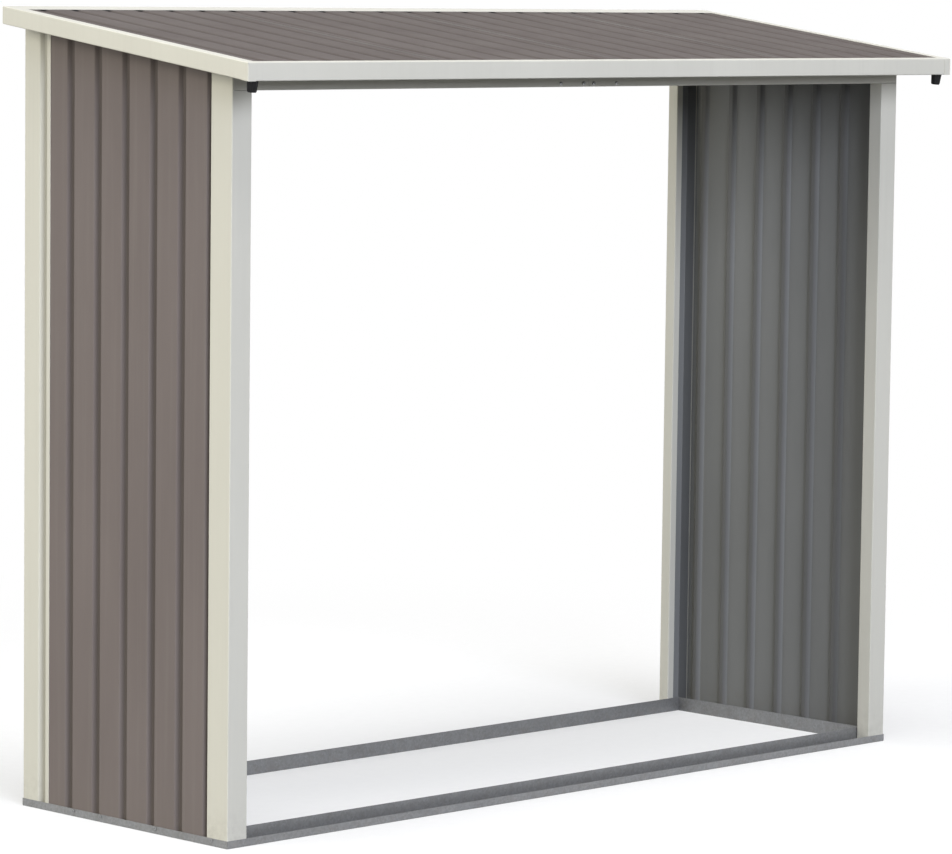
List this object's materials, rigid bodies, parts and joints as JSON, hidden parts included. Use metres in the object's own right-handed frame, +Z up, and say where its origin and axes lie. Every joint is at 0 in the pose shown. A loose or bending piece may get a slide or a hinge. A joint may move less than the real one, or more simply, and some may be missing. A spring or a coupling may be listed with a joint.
{
  "type": "log store",
  "caption": "Open-fronted, open-backed steel log store with ribbed side walls, folded corner posts, a sloping ribbed roof, edge trims and a front gutter with drain spouts.",
  "frame": {"origin": "middle of the roof's plan outline, on the ground under the base rails", "axes": "+X to the right along the width, +Y to the high rear edge, +Z up"},
  "size_m": [1.96, 0.7, 1.5397],
  "materials": {
    "taupe_steel": "satin taupe paint on ribbed sheet, bare grey coat behind",
    "cream_steel": "satin cream paint on folded sheet",
    "galvanised_steel": "dull zinc coating with a faint spangle",
    "black_plastic": "moulded matt black plastic"
  },
  "bodies": {
    "root": {"base_rail_front": "galvanised_steel", "base_rail_rear": "galvanised_steel", "base_rail_left": "galvanised_steel", "base_rail_right": "galvanised_steel", "post_front_left": "cream_steel", "post_front_right": "cream_steel", "post_rear_left": "cream_steel", "post_rear_right": "cream_steel", "wall_panel_left": "taupe_steel", "wall_panel_right": "taupe_steel", "wall_top_rail_left": "cream_steel", "wall_top_rail_right": "cream_steel", "front_beam_left": "cream_steel", "front_beam_right": "cream_steel", "front_beam_splice": "galvanised_steel", "rear_beam_left": "cream_steel", "rear_beam_right": "cream_steel", "rear_beam_splice": "galvanised_steel", "roof_panel_left": "taupe_steel", "roof_panel_mid_left": "taupe_steel", "roof_panel_mid_right": "taupe_steel", "roof_panel_right": "taupe_steel", "rake_trim_left": "cream_steel", "rake_trim_right": "cream_steel", "front_gutter": "cream_steel", "ridge_trim_left": "cream_steel", "ridge_trim_right": "cream_steel", "drain_spout_left": "black_plastic", "drain_spout_right": "black_plastic"}
  },
  "joints": []
}
